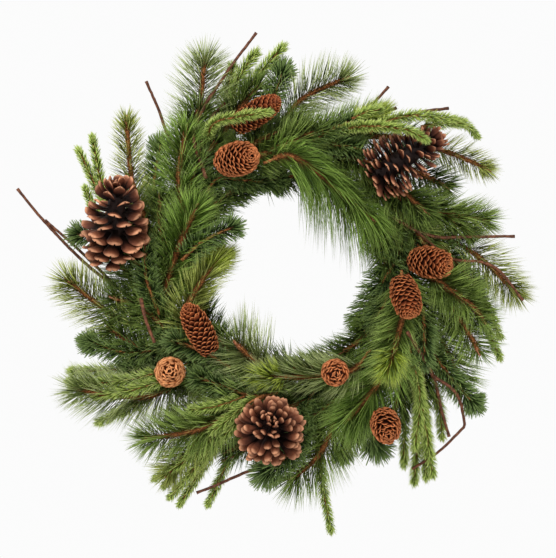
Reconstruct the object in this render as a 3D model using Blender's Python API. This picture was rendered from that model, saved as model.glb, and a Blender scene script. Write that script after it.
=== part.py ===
"""Evergreen wreath, hung upright with its back to a wall.

The ring lies in the XZ plane and faces -Y, the wall is y = 0 and everything is in front of it.
The origin is the hanging point, where a nail bears on the inside top of the hanger loop.
Sizes here are in millimetres. Places on the wreath are (clock, radius): the clock angle runs
clockwise from the top in degrees as seen from the front, and the radius is from the ring's centre.
"""

import math

import bpy
import numpy as np

MM = 0.001
GAP = 0.8
RING_R = 150.0
RING_INNER_R = 116.0
RING_CENTRE_Z = -170.0
WIRE_R = 1.5
WIRE_CENTRE_DEPTH = 3.3
CROSS_WIRES = 8
CROSS_WIRE_R = 1.2
HANGER_WIRE_R = 0.7
HANGER_HALF_WIDTH = 8.5
HANGER_POINTS = 18
# The hanger reaches this far below the outer rail's middle.
HANGER_DROP = 4.5
TIE_WIRE_R = 0.6
TIE_CLOCKS = (62, 182, 300)
# A tie stands this far clear of each rail's middle, in the plane of the ring.
TIE_CLEARANCE = 4.0

# Foliage sprigs, laid in this order: name, kind, fingers. Each finger is a path of (clock, radius).
LOW_SPRIGS = [
    ("spruce_spray_top_left", "spruce", [
        [(328, 155), (346, 223), (359, 277)], [(334, 185), (344, 237), (352, 273)],
        [(332, 180), (341, 232), (345, 264)]]),
    ("spruce_spray_left", "spruce", [
        [(273, 150), (290, 225), (302, 292)], [(276, 170), (293, 235), (306, 285)],
        [(274, 175), (287, 235), (294, 262)]]),
    ("spruce_spray_lower_left", "spruce", [
        [(232, 160), (237, 240), (244, 304)], [(234, 172), (240, 235), (246, 296)],
        [(231, 175), (229, 235), (232, 300)]]),
    ("spruce_spray_bottom_left", "spruce", [
        [(198, 150), (203, 232), (206, 308)], [(196, 165), (198, 232), (199, 292)],
        [(200, 165), (208, 235), (211, 292)]]),
    ("spruce_spray_bottom", "spruce", [[(164, 152), (171, 234), (171, 322)]]),
    ("spruce_spray_lower_right", "spruce", [
        [(122, 156), (138, 207), (150, 276)], [(126, 170), (138, 232), (150, 300)],
        [(126, 172), (134, 225), (147, 303)], [(125, 172), (131, 235), (138, 276)]]),
    ("spruce_spray_right", "spruce", [
        [(86, 152), (96, 215), (107, 252), (113, 278)], [(88, 170), (96, 228), (108, 270)]]),
]
HIGH_SPRIGS = [
    ("pine_sprig_01", "pine", [[(311, 150), (327, 204), (341, 305)]]),
    ("pine_sprig_02", "pine", [[(278, 154), (298, 213), (315, 282)]]),
    ("pine_sprig_03", "pine", [[(241, 156), (254, 212), (271, 288)]]),
    ("pine_sprig_04", "pine", [[(223, 160), (229, 229), (244, 315)]]),
    ("pine_sprig_05", "pine", [[(207, 152), (209, 237), (212, 305)]]),
    ("pine_sprig_06", "pine", [[(155, 156), (170, 219), (184, 268)]]),
    ("pine_sprig_07", "pine", [[(102, 157), (116, 210), (126, 266)]]),
    ("pine_sprig_08", "pine", [[(68, 152), (83, 218), (98, 292)]]),
    ("pine_sprig_09", "pine", [[(49, 151), (66, 183), (77, 266)]]),
    ("pine_sprig_10", "pine", [[(35, 157), (48, 225), (65, 280)]]),
    ("pine_sprig_11", "pine", [[(351, 148), (3, 207), (21, 262)]]),
    ("fir_sprig_01", "fir", [[(341, 148), (353, 202), (359, 254)]]),
    ("fir_sprig_02", "fir", [[(321, 142), (334, 123), (357, 106)]]),
    ("fir_sprig_03", "fir", [[(237, 160), (243, 215), (252, 266)]]),
    ("fir_sprig_04", "fir", [[(171, 153), (180, 214), (189, 256)]]),
    ("fir_sprig_05", "fir", [[(148, 158), (154, 211), (155, 258)]]),
    ("fir_sprig_06", "fir", [[(111, 157), (123, 228), (126, 284)]]),
    ("fir_sprig_07", "fir", [[(80, 132), (104, 107), (131, 112)]]),
    ("pine_sprig_12", "pine", [[(298, 145), (311, 177), (328, 228)]]),
    ("pine_sprig_13", "pine", [[(196, 153), (209, 213), (224, 284)]]),
    ("pine_sprig_14", "pine", [[(130, 154), (143, 170), (165, 202)]]),
    ("pine_sprig_15", "pine", [[(347, 144), (12, 171), (34, 234)]]),
    ("pine_sprig_16", "pine", [[(149, 138), (172, 127), (204, 137)]]),
    ("pine_sprig_17", "pine", [[(104, 142), (118, 147), (141, 174)]]),
    ("pine_sprig_18", "pine", [[(1, 137), (28, 115), (72, 132)]]),
    ("pine_sprig_19", "pine", [[(257, 153), (278, 138), (314, 142)]]),
    ("pine_sprig_20", "pine", [[(246, 138), (259, 114), (296, 80)]]),
]

# Slim sprays that lie over the cones beside them.
FRONT_SPRIGS = [
    ("spruce_spray_top", "spruce", [[(316, 152), (331, 196), (342, 193), (354, 190)]]),
    ("spruce_spray_top_right", "spruce", [[(8, 150), (21, 183), (38, 213), (47, 223)]]),
    ("spruce_spray_upper_right", "spruce", [[(25, 165), (35, 222), (48, 269), (55, 280)]]),
]

# Bare deciduous twigs: name, limbs. The first limb is the main stem and the others fork from it.
# The low ones lie under the upper sprigs, and the high ones over them.
LOW_TWIGS = [
    ("twig_left", [[(249, 161), (264, 208), (273, 252), (282, 307), (287, 346)],
                   [(264, 208), (276, 258), (282, 304)]]),
    ("twig_upper_left", [[(321, 160), (318, 214), (321, 253), (323, 290)]]),
    ("twig_top_right", [[(5, 149), (20, 197), (26, 227), (28, 254)],
                        [(12, 170), (27, 209), (33, 237)]]),
    ("twig_bottom", [[(176, 154), (188, 230), (194, 253), (203, 290)],
                     [(182, 190), (194, 223), (200, 243)]]),
]
HIGH_TWIGS = [
    ("twig_top", [[(318, 150), (326, 205), (342, 251), (352, 292)],
                  [(322, 178), (331, 205), (339, 219)]]),
    ("twig_right", [[(62, 140), (72, 160), (77, 185), (79, 221), (81, 274)],
                    [(72, 160), (85, 193), (87, 228), (90, 252), (97, 282)]]),
    ("twig_lower_right", [[(117, 155), (126, 211), (132, 245), (136, 277)],
                          [(126, 211), (126, 243), (132, 271), (141, 276), (148, 277)]]),
]

# Cones: name, (clock, radius) of the middle, pointing direction (x, y, z), length, width, whorls, points.
CONES = [
    ("cone_small_01", (334, 148), (0.66, -0.74, 0.10), 60, 43, 5, 7),
    ("cone_small_02", (348, 192), (0.83, -0.22, 0.50), 72, 33, 6, 7),
    ("cone_small_03", (86, 167), (0.78, -0.60, -0.15), 58, 40, 5, 7),
    ("cone_small_04", (102, 139), (0.20, -0.55, -0.80), 58, 37, 5, 7),
    ("cone_small_05", (238, 127), (-0.35, -0.50, 0.79), 72, 37, 6, 7),
    ("cone_small_06", (230, 186), (0.05, -0.99, 0.10), 50, 37, 5, 7),
    ("cone_small_07", (156, 129), (0.05, -0.99, -0.10), 46, 33, 5, 7),
    ("cone_small_08", (148, 212), (0.10, -0.85, -0.50), 48, 37, 5, 7),
    ("cone_large_01", (286, 215), (0.08, -0.53, 0.85), 106, 86, 7, 9),
    ("cone_large_02", (187, 187), (0.00, -0.93, 0.36), 80, 88, 6, 9),
    ("cone_large_03", (45, 190), (0.82, -0.22, 0.52), 98, 76, 7, 9),
]

# Each kind of foliage body. tip is the blunt end's share of the width, and star is how far in the odd
# corners are drawn.
FOLIAGE = {
    "pine": {"half_width": 22.0, "half_depth": 11.0, "whorl": 29.0, "sides": 8, "tip": 0.28, "star": 0.60},
    "fir": {"half_width": 17.0, "half_depth": 10.0, "whorl": 25.0, "sides": 8, "tip": 0.62, "star": 0.72},
    "spruce": {"half_width": 8.0, "half_depth": 7.0, "whorl": 32.0, "sides": 6, "tip": 0.35, "star": 0.85},
}
# Each stem starts between the rails and runs this many degrees along the ring before it leaves it.
ROOT_RUN = 15
ROOT_RADIUS = 133
STEM_R = 2.2
TWIG_R = 2.1
TWIG_STEP = 26.0
FORK_SHARE = 0.8
TWIG_TAPER = 0.62

COLOURS = {
    "wire": (0.06, 0.12, 0.07), "steel": (0.55, 0.56, 0.57), "pine": (0.10, 0.22, 0.06),
    "fir": (0.05, 0.13, 0.06), "spruce": (0.25, 0.40, 0.10), "twig": (0.16, 0.09, 0.07),
    "cone_small": (0.40, 0.15, 0.08), "cone_large": (0.35, 0.20, 0.13),
}


def clear_scene():
    for obj in list(bpy.data.objects):
        bpy.data.objects.remove(obj, do_unlink=True)


def material(name, colour, roughness):
    mat = bpy.data.materials.new(name)
    mat.use_nodes = True
    shader = mat.node_tree.nodes["Principled BSDF"]
    shader.inputs["Base Color"].default_value = (*colour, 1.0)
    shader.inputs["Roughness"].default_value = roughness
    return mat


def on_wreath(clock, radius):
    """(x, z) of a place on the wreath."""
    angle = math.radians(clock)
    return np.array([radius * math.sin(angle), RING_CENTRE_Z + radius * math.cos(angle)])


def new_object(name, points, faces, colour):
    mesh = bpy.data.meshes.new(name)
    mesh.from_pydata([tuple(np.asarray(p) * MM) for p in points], [], [tuple(map(int, f)) for f in faces])
    mesh.validate()
    obj = bpy.data.objects.new(name, mesh)
    bpy.context.scene.collection.objects.link(obj)
    mesh.materials.append(material(name, COLOURS[colour], 0.6))
    return obj


def union_into(obj, helpers):
    """Joins the helpers to obj as one body, and takes them out of the scene."""
    for helper in helpers:
        modifier = obj.modifiers.new("join", "BOOLEAN")
        modifier.operation = "UNION"
        modifier.solver = "EXACT"
        modifier.object = helper
    bpy.context.view_layer.update()
    graph = bpy.context.evaluated_depsgraph_get()
    mesh = bpy.data.meshes.new_from_object(obj.evaluated_get(graph))
    obj.modifiers.clear()
    obj.data = mesh
    for helper in helpers:
        bpy.data.objects.remove(helper, do_unlink=True)
    return obj


def triangle_corners(obj):
    """Corner points of the mesh's triangles, in millimetres."""
    obj.data.calc_loop_triangles()
    points = np.array([v.co[:] for v in obj.data.vertices]) / MM
    triangles = np.array([t.vertices[:] for t in obj.data.loop_triangles])
    return points[triangles]


class Heap:
    """How far out from the wall the pieces already laid reach, on a grid over the wreath's face."""

    cell = 1.5
    low = np.array([-360.0, -520.0])
    shape = (480, 480)

    def __init__(self):
        self.depth = np.zeros(self.shape)

    def cells(self, triangles):
        """(rows, columns, depths) where the triangles cross the grid's cells."""
        rows, columns, depths = [], [], []
        for corners in triangles:
            flat = (corners[:, [0, 2]] - self.low) / self.cell
            first = np.floor(flat.min(0)).astype(int)
            last = np.ceil(flat.max(0)).astype(int)
            area = np.cross(flat[1] - flat[0], flat[2] - flat[0])
            reach = -corners[:, 1]
            for corner, out in zip(np.round(flat).astype(int), reach):
                rows.append(corner[:1])
                columns.append(corner[1:])
                depths.append(np.array([out]))
            if abs(area) < 1e-9:
                continue
            u, v = np.meshgrid(np.arange(first[0], last[0] + 1), np.arange(first[1], last[1] + 1))
            u, v = u.ravel(), v.ravel()
            offset = np.stack([u, v], 1) - flat[0]
            b = (offset[:, 0] * (flat[2] - flat[0])[1] - offset[:, 1] * (flat[2] - flat[0])[0]) / area
            c = (offset[:, 1] * (flat[1] - flat[0])[0] - offset[:, 0] * (flat[1] - flat[0])[1]) / area
            inside = (b >= -0.02) & (c >= -0.02) & (b + c <= 1.02)
            rows.append(u[inside])
            columns.append(v[inside])
            depths.append((reach[0] + b * (reach[1] - reach[0]) + c * (reach[2] - reach[0]))[inside])
        return np.concatenate(rows), np.concatenate(columns), np.concatenate(depths)

    def wide(self):
        """The depths, each cell taking the greatest of its neighbours."""
        out = self.depth.copy()
        for du in (-1, 0, 1):
            for dv in (-1, 0, 1):
                out = np.maximum(out, np.roll(self.depth, (du, dv), (0, 1)))
        return out

    def lay(self, obj, settle=True):
        """Moves the piece out until it clears the heap, and adds it."""
        triangles = triangle_corners(obj)
        rows, columns, depths = self.cells(triangles)
        push = 0.0
        if settle:
            push = float((self.wide()[rows, columns] + GAP - depths).max())
            for vertex in obj.data.vertices:
                vertex.co.y -= push * MM
        np.maximum.at(self.depth, (rows, columns), depths + push)

    def needed(self, place, radius):
        """The depth of the heap round a place."""
        middle = (place - self.low) / self.cell
        span = int(math.ceil(radius / self.cell))
        u, v = np.round(middle).astype(int)
        return float(self.depth[u - span:u + span + 1, v - span:v + span + 1].max())


def smooth_path(points, spacing):
    """(points along a smooth curve through the given ones, about one spacing apart, its length)."""
    points = np.array(points, float)
    ends = np.vstack([2 * points[0] - points[1], points, 2 * points[-1] - points[-2]])
    out = []
    for i in range(len(points) - 1):
        before, start, end, after = ends[i:i + 4]
        for t in np.linspace(0, 1, 24, endpoint=False):
            out.append(0.5 * (2 * start + (end - before) * t
                              + (2 * before - 5 * start + 4 * end - after) * t ** 2
                              + (3 * start - 3 * end + after - before) * t ** 3))
    out = np.vstack([out, points[-1]])
    run = np.concatenate([[0], np.cumsum(np.linalg.norm(np.diff(out, axis=0), axis=1))])
    count = max(3, int(round(run[-1] / spacing)) + 1)
    wanted = np.linspace(0, run[-1], count)
    return np.stack([np.interp(wanted, run, out[:, k]) for k in range(out.shape[1])], 1), run[-1]


def draped(heap, flat_path, half_width, half_depth, least, steepest=0.7):
    """The (x, z) path with a depth that clears the heap and never bends faster than steepest."""
    step = np.linalg.norm(np.diff(flat_path, axis=0), axis=1)
    run = np.concatenate([[0], np.cumsum(step)])
    need = np.array([
        max(low, heap.needed(place, wide) + GAP + thick)
        for place, wide, thick, low in zip(flat_path, half_width, half_depth, least)])
    depth = (need[None, :] - steepest * abs(run[:, None] - run[None, :])).max(1)
    return np.stack([flat_path[:, 0], -depth, flat_path[:, 1]], 1)


def tube(path, radii, sides, flatten=1.0, star=1.0):
    """A closed round-ended body along the path: points and faces. Odd corners are drawn in by star."""
    path = np.asarray(path, float)
    along = np.gradient(path, axis=0)
    along /= np.linalg.norm(along, axis=1)[:, None]
    points, faces = [], []
    for i, (place, way, radius) in enumerate(zip(path, along, radii)):
        side = np.cross(way, (0.0, 1.0, 0.0))
        side /= np.linalg.norm(side)
        front = np.cross(side, way)
        for k in range(sides):
            angle = 2 * math.pi * k / sides
            reach = radius * (1.0 if (k + i // 2) % 2 == 0 else star)
            points.append(place + side * reach * math.cos(angle) + front * reach * flatten * math.sin(angle))
    for i in range(len(path) - 1):
        for k in range(sides):
            a, b = i * sides + k, i * sides + (k + 1) % sides
            faces.append((a, b, b + sides, a + sides))
    faces.append(tuple(range(sides))[::-1])
    faces.append(tuple(range((len(path) - 1) * sides, len(path) * sides)))
    return points, facing_out(points, faces)


def facing_out(points, faces):
    """The faces, all turned round if the body they close is inside out."""
    points = np.asarray(points)
    volume = 0.0
    for face in faces:
        for i in range(1, len(face) - 1):
            volume += np.dot(points[face[0]], np.cross(points[face[i]], points[face[i + 1]]))
    return faces if volume > 0 else [face[::-1] for face in faces]


def closed_loop(name, path, radius, sides, colour):
    """A wire of the given radius round a closed path, with a flat side to the back."""
    path = np.asarray(path, float)
    count = len(path)
    ahead = np.roll(path, -1, 0) - np.roll(path, 1, 0)
    points, faces = [], []
    for place, way in zip(path, ahead):
        way = way / np.linalg.norm(way)
        side = np.cross(way, (0.0, 1.0, 0.0))
        if np.linalg.norm(side) < 0.3:
            side = np.cross(way, (0.0, 0.0, 1.0))
        side /= np.linalg.norm(side)
        front = np.cross(side, way)
        for k in range(sides):
            angle = 2 * math.pi * k / sides
            points.append(place + radius * (side * math.cos(angle) + front * math.sin(angle)))
    for i in range(count):
        for k in range(sides):
            a, b = i * sides + k, i * sides + (k + 1) % sides
            c, d = ((i + 1) % count) * sides + k, ((i + 1) % count) * sides + (k + 1) % sides
            faces.append((a, b, d, c))
    return new_object(name, points, facing_out(points, faces), colour)


def wire_frame():
    """The two round rails and the short wires welded across them."""
    rails = []
    for radius, segments in ((RING_R, 36), (RING_INNER_R, 32)):
        path = []
        for i in range(segments):
            x, z = on_wreath(360 * (i + 0.5) / segments, radius)
            path.append((x, -WIRE_CENTRE_DEPTH, z))
        rails.append(closed_loop("rail", path, WIRE_R, 6, "wire"))
    frame, inner = rails
    frame.name = "wire_frame"
    crossings = []
    for i in range(CROSS_WIRES):
        clock = 360 * (i + 0.5) / CROSS_WIRES
        ends = [on_wreath(clock, r) for r in (RING_INNER_R, RING_R)]
        path = [(x, -WIRE_CENTRE_DEPTH, z) for x, z in ends]
        points, faces = tube(path, [CROSS_WIRE_R, CROSS_WIRE_R], 6)
        crossings.append(new_object("cross_wire", points, faces, "wire"))
    return union_into(frame, [inner] + crossings)


def hanger_loop():
    """A closed wire loop that goes round the outer rail at the top and stands up behind the greens."""
    rail_z = RING_CENTRE_Z + RING_R
    top, bottom = HANGER_WIRE_R, rail_z - HANGER_DROP
    middle, half = (top + bottom) / 2, (top - bottom) / 2
    behind, before = 0.8, WIRE_CENTRE_DEPTH + WIRE_R + 0.4 + HANGER_WIRE_R
    path = []
    for i in range(HANGER_POINTS):
        angle = 2 * math.pi * (i + 0.5) / HANGER_POINTS
        across = math.sin(angle)
        x, z = HANGER_HALF_WIDTH * across, middle + half * math.cos(angle)
        # Near the rail one side of the loop swings out in front of it, and the other stays behind.
        near_rail = min(max((rail_z + 9 - z) / 8, 0.0), 1.0)
        swing = min(max(near_rail * (1.9 * across + 0.5), 0.0), 1.0)
        path.append((x, -(behind + (before - behind) * swing), z))
    return closed_loop("hanger_loop", path, HANGER_WIRE_R, 6, "steel")


def binding_tie(number, clock):
    """A turn of binding wire round both rails at one place."""
    inner, outer = RING_INNER_R - TIE_CLEARANCE, RING_R + TIE_CLEARANCE
    back, front = 0.75, WIRE_CENTRE_DEPTH + WIRE_R + 1.2
    corners = [(inner, back + 0.6), (inner + 3, back), (outer - 3, back), (outer, back + 0.6),
               (outer, front - 0.6), (outer - 3, front), (inner + 3, front), (inner, front - 0.6)]
    path = []
    for radius, depth in corners:
        x, z = on_wreath(clock, radius)
        path.append((x, -depth, z))
    return closed_loop("binding_tie_%02d" % number, path, TIE_WIRE_R, 6, "steel")


def foliage_radii(count, look):
    """Radius at each ring of a foliage body: a thin stem, then whorls that flare towards the tip."""
    radii = []
    for i in range(count):
        t = i / (count - 1)
        swell = min(1.0, 0.35 + 2.6 * t) * (1.0 if t < 0.75 else 1 - (1 - look["tip"]) * (t - 0.75) / 0.25)
        flare = 1.0 if i % 2 else 0.62
        radii.append(look["half_width"] * swell * flare)
    radii[0] = STEM_R
    radii[-1] = look["half_width"] * look["tip"] * 0.45
    return np.array(radii)


def sprig(heap, name, kind, fingers):
    """A spray of foliage, each finger lying over what is already on the ring."""
    look = FOLIAGE[kind]
    bodies = []
    first_finger = None
    root = (fingers[0][0][0] - ROOT_RUN, ROOT_RADIUS)
    for number, finger in enumerate(fingers):
        places = [root] + finger if number == 0 else finger
        flat = [on_wreath(*place) for place in places]
        path, length = smooth_path(flat, look["whorl"] / 2)
        if len(path) % 2:
            path, length = smooth_path(flat, length / len(path))
        radii = foliage_radii(len(path), look)
        flatten = look["half_depth"] / look["half_width"]
        least = np.linspace(10.0, 22.0, len(path))
        laid = draped(heap, path, radii + 1.0, radii * flatten, least)
        if first_finger is None:
            first_finger = laid
        else:
            nearest = np.linalg.norm(first_finger[:, [0, 2]] - laid[0, [0, 2]], axis=1).argmin()
            laid[0] = first_finger[nearest]
        points, faces = tube(laid, radii, look["sides"], flatten, look["star"])
        bodies.append(new_object(name if not bodies else name + "_finger", points, faces, kind))
    body = bodies[0]
    if len(bodies) > 1:
        union_into(body, bodies[1:])
    heap.lay(body)


def twig(heap, name, limbs):
    """A bare twig and its forks."""
    bodies = []
    main = None
    for limb in limbs:
        path = smooth_path([on_wreath(*place) for place in limb], TWIG_STEP)[0]
        start_r = TWIG_R if main is None else TWIG_R * FORK_SHARE
        radii = np.linspace(start_r, start_r * TWIG_TAPER, len(path))
        laid = draped(heap, path, radii + 1.0, radii, np.linspace(9.0, 20.0, len(path)), 0.5)
        if main is None:
            main = laid
        else:
            nearest = np.linalg.norm(main[:, [0, 2]] - laid[0, [0, 2]], axis=1).argmin()
            laid[0] = main[nearest]
        points, faces = tube(laid, radii, 6)
        bodies.append(new_object(name if not bodies else name + "_fork", points, faces, "twig"))
    body = bodies[0]
    if len(bodies) > 1:
        union_into(body, bodies[1:])
    heap.lay(body)


def cone(heap, name, place, way, length, width, whorls, scales):
    """A conifer cone: whorls of scales that stand out round its axis, turned half a scale each time."""
    way = np.array(way, float) / np.linalg.norm(way)
    x, z = on_wreath(*place)
    side = np.cross(way, (0.0, 0.0, 1.0))
    side /= np.linalg.norm(side)
    up = np.cross(side, way)
    sides = 2 * scales
    rings = []
    for w in range(whorls):
        t = (w + 0.5) / whorls
        outer = width / 2 * math.sin(math.pi * (0.16 + 0.72 * t)) ** 0.75
        rings.append((t - 0.55 / whorls, outer * 0.52, w, 1.0))
        rings.append((t + 0.25 / whorls, outer, w, 0.74))
    rings.append((1.0, width * 0.10, whorls, 1.0))
    points, faces = [], []
    for t, radius, whorl, valley in rings:
        middle = way * length * (t - 0.5)
        for k in range(sides):
            angle = 2 * math.pi * k / sides
            reach = radius * (1.0 if (k + whorl) % 2 == 0 else valley)
            points.append(middle + reach * (side * math.cos(angle) + up * math.sin(angle)))
    for i in range(len(rings) - 1):
        for k in range(sides):
            a, b = i * sides + k, i * sides + (k + 1) % sides
            faces.append((a, b, b + sides, a + sides))
    faces.append(tuple(range(sides))[::-1])
    faces.append(tuple(range((len(rings) - 1) * sides, len(rings) * sides)))
    points = np.array(points) + (x, 0.0, z)
    body = new_object(name, points, facing_out(points, faces), name.rsplit("_", 1)[0])
    heap.lay(body)


def build():
    clear_scene()
    heap = Heap()
    heap.lay(wire_frame(), settle=False)
    heap.lay(hanger_loop(), settle=False)
    for number, clock in enumerate(TIE_CLOCKS, 1):
        heap.lay(binding_tie(number, clock), settle=False)
    for name, kind, fingers in LOW_SPRIGS:
        sprig(heap, name, kind, fingers)
    for name, limbs in LOW_TWIGS:
        twig(heap, name, limbs)
    for name, kind, fingers in HIGH_SPRIGS:
        sprig(heap, name, kind, fingers)
    for name, limbs in HIGH_TWIGS:
        twig(heap, name, limbs)
    for row in CONES:
        cone(heap, *row)
    for name, kind, fingers in FRONT_SPRIGS:
        sprig(heap, name, kind, fingers)


build()
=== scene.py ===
"""Looks of the evergreen wreath: needles, buds, cone scales, twigs and wire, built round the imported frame."""

import math

import bpy
import numpy as np
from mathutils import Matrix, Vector


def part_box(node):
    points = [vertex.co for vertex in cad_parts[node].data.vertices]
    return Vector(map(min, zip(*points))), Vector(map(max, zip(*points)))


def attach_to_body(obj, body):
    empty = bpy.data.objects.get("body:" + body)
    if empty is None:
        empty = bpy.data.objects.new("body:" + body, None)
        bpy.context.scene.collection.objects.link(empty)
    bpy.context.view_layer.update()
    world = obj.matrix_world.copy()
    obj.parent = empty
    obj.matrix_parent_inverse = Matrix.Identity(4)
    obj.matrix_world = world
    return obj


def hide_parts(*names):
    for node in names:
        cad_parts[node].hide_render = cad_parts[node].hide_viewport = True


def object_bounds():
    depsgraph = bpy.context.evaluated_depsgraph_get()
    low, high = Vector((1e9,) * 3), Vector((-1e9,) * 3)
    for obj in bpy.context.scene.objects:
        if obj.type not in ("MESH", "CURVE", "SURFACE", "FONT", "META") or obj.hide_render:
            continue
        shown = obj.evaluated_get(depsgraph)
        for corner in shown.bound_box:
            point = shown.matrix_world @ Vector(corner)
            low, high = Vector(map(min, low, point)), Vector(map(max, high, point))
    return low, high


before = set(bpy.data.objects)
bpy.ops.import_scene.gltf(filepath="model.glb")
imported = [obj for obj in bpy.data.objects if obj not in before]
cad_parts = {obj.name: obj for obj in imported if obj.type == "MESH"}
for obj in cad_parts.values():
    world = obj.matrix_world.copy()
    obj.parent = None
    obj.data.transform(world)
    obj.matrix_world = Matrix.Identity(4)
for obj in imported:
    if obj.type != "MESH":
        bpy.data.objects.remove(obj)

CAD_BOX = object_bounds()
MM = 0.001
GOLDEN_ANGLE = math.radians(137.508)
# The height of the ring's centre, below the place in the hanger's loop where a nail bears.
RING_CENTRE_Z = -0.170
# The greens end at this y, just in front of the wall, which is y = 0.
WALL_GAP = -0.0012
# A path's steps from one given place to the next, and the spacing of the points kept from them.
SPAN_STEPS = 24
PATH_SPACING = 4 * MM
# How many points of a path its depth is averaged over.
DEPTH_WINDOW = 5
# How near the line of a path, seen from the front, the corners of its CAD node give it its depth.
NODE_REACH = {"pine": 16 * MM, "fir": 14 * MM, "spruce": 10 * MM, "twig": 12 * MM}
# A piece's materials in order: its needles, scales or bark, then wood, buds and a lime tuft if it has them
MAIN, WOOD, BUDS, TUFT = range(4)

# ---------------- places and paths


def on_wreath(clock, radius, depth=0.0):
    """The place at a clock angle and radius (mm) from the ring's centre, a depth (mm) off the wall."""
    angle = math.radians(clock)
    across, up = math.sin(angle), math.cos(angle)
    return np.array([radius * MM * across, -depth * MM, RING_CENTRE_Z + radius * MM * up])


def smooth_path(places):
    """Points along a smooth curve through places given as for on_wreath, about PATH_SPACING apart."""
    points = np.array([on_wreath(*place) for place in places])
    ends = np.vstack([2 * points[0] - points[1], points, 2 * points[-1] - points[-2]])
    out = []
    for i in range(len(points) - 1):
        before, start, end, after = ends[i:i + 4]
        for t in np.linspace(0, 1, SPAN_STEPS, endpoint=False):
            out.append(0.5 * (2 * start + (end - before) * t
                              + (2 * before - 5 * start + 4 * end - after) * t ** 2
                              + (3 * start - 3 * end + after - before) * t ** 3))
    out = np.vstack([out, points[-1]])
    run = path_run(out)
    count = max(3, int(round(run[-1] / PATH_SPACING)) + 1)
    return at_runs(out, run, np.linspace(0, run[-1], count))


def path_run(path):
    """Distance along the path of each of its points."""
    return np.concatenate([[0], np.cumsum(np.linalg.norm(np.diff(path, axis=0), axis=1))])


def at_runs(values, run, wanted):
    """Rows of values, which belong to the distances in run, read off at the wanted distances."""
    return np.stack([np.interp(wanted, run, values[:, k]) for k in range(3)], 1)


def trimmed(path, cut):
    """The path without its last stretch of that length."""
    run = path_run(path)
    return at_runs(path, run, np.linspace(0, run[-1] - cut, len(path)))


def middle_and_half(node):
    """The middle of a CAD node's box and half its size, in metres."""
    low, high = (np.array(corner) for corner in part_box(node))
    return (low + high) / 2, (high - low) / 2


def node_points(node):
    """The corners of a CAD node, in metres."""
    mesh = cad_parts[node].data
    points = np.empty(len(mesh.vertices) * 3, np.float32)
    mesh.vertices.foreach_get("co", points)
    return points.reshape(-1, 3).astype(float)


def through_node(node, places, reach):
    """The smooth line through the places, lying at the depth of the CAD node's middle."""
    path = smooth_path(places)
    corners = node_points(node)
    depth = np.full(len(path), np.nan)
    for i, point in enumerate(path):
        near = np.hypot(corners[:, 0] - point[0], corners[:, 2] - point[2]) < reach
        if near.sum() > 2:
            depth[i] = (corners[near, 1].min() + corners[near, 1].max()) / 2
    known = ~np.isnan(depth)
    depth = np.interp(np.arange(len(path)), np.arange(len(path))[known], depth[known])
    blur = np.ones(DEPTH_WINDOW) / DEPTH_WINDOW
    path[:, 1] = np.convolve(np.pad(depth, DEPTH_WINDOW // 2, "edge"), blur, "valid")
    return path


# ---------------- mesh making


class Shell:
    """Points, faces, material numbers and a colour per point, gathered into one mesh."""

    def __init__(self):
        self.points, self.faces, self.slots, self.tints = [], [], [], []
        self.count = 0

    def add(self, points, faces, tints, slot):
        """Faces are rows of corner numbers counted from 0 in these points."""
        points = np.asarray(points, float)
        self.points.append(points)
        self.tints.append(np.asarray(tints, float))
        for group in faces:
            group = np.asarray(group, int)
            self.faces.append(group + self.count)
            self.slots.append(np.full(len(group), slot))
        self.count += len(points)

    def finish(self, name, materials):
        """Makes the object, smooth shaded."""
        points = np.concatenate(self.points)
        tints = np.concatenate(self.tints)
        loops = np.concatenate([group.ravel() for group in self.faces])
        sizes = np.concatenate([np.full(len(group), group.shape[1]) for group in self.faces])
        mesh = bpy.data.meshes.new(name)
        mesh.vertices.add(len(points))
        mesh.vertices.foreach_set("co", points.astype(np.float32).ravel())
        mesh.loops.add(len(loops))
        mesh.loops.foreach_set("vertex_index", loops.astype(np.int32))
        mesh.polygons.add(len(sizes))
        starts = np.concatenate([[0], np.cumsum(sizes)[:-1]])
        mesh.polygons.foreach_set("loop_start", starts.astype(np.int32))
        mesh.polygons.foreach_set("loop_total", sizes.astype(np.int32))
        mesh.polygons.foreach_set("material_index", np.concatenate(self.slots).astype(np.int32))
        mesh.update(calc_edges=True)
        attribute = mesh.color_attributes.new("leaf", "FLOAT_COLOR", "POINT")
        colours = np.hstack([tints, np.ones((len(tints), 1))])
        attribute.data.foreach_set("color", colours.astype(np.float32).ravel())
        for material in materials:
            mesh.materials.append(material)
        mesh.shade_smooth()
        obj = bpy.data.objects.new(name, mesh)
        bpy.context.scene.collection.objects.link(obj)
        return obj


def unit(vectors):
    vectors = np.asarray(vectors, float)
    return vectors / np.maximum(np.linalg.norm(vectors, axis=-1, keepdims=True), 1e-12)


def side_pair(ways):
    """Two unit vectors square to each way and to each other."""
    ways = unit(ways)
    helper = np.where(abs(ways[:, 1:2]) < 0.9, np.array([[0.0, 1.0, 0.0]]), np.array([[1.0, 0.0, 0.0]]))
    first = unit(np.cross(ways, helper))
    return first, np.cross(first, ways)


def ring_faces(rings, sides):
    """The faces between rings of points that follow one another."""
    quads = []
    for i in range(rings - 1):
        for k in range(sides):
            a, b = i * sides + k, i * sides + (k + 1) % sides
            quads.append((a, b, b + sides, a + sides))
    return np.array(quads)


NEEDLE_SIDES = 3
# Shares of a needle's length, and how wide it is there against its full radius
POINTED = ((0.0, 0.8), (0.55, 1.0))
BLUNT = ((0.0, 0.75), (0.55, 1.0), (0.93, 0.72))


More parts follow.
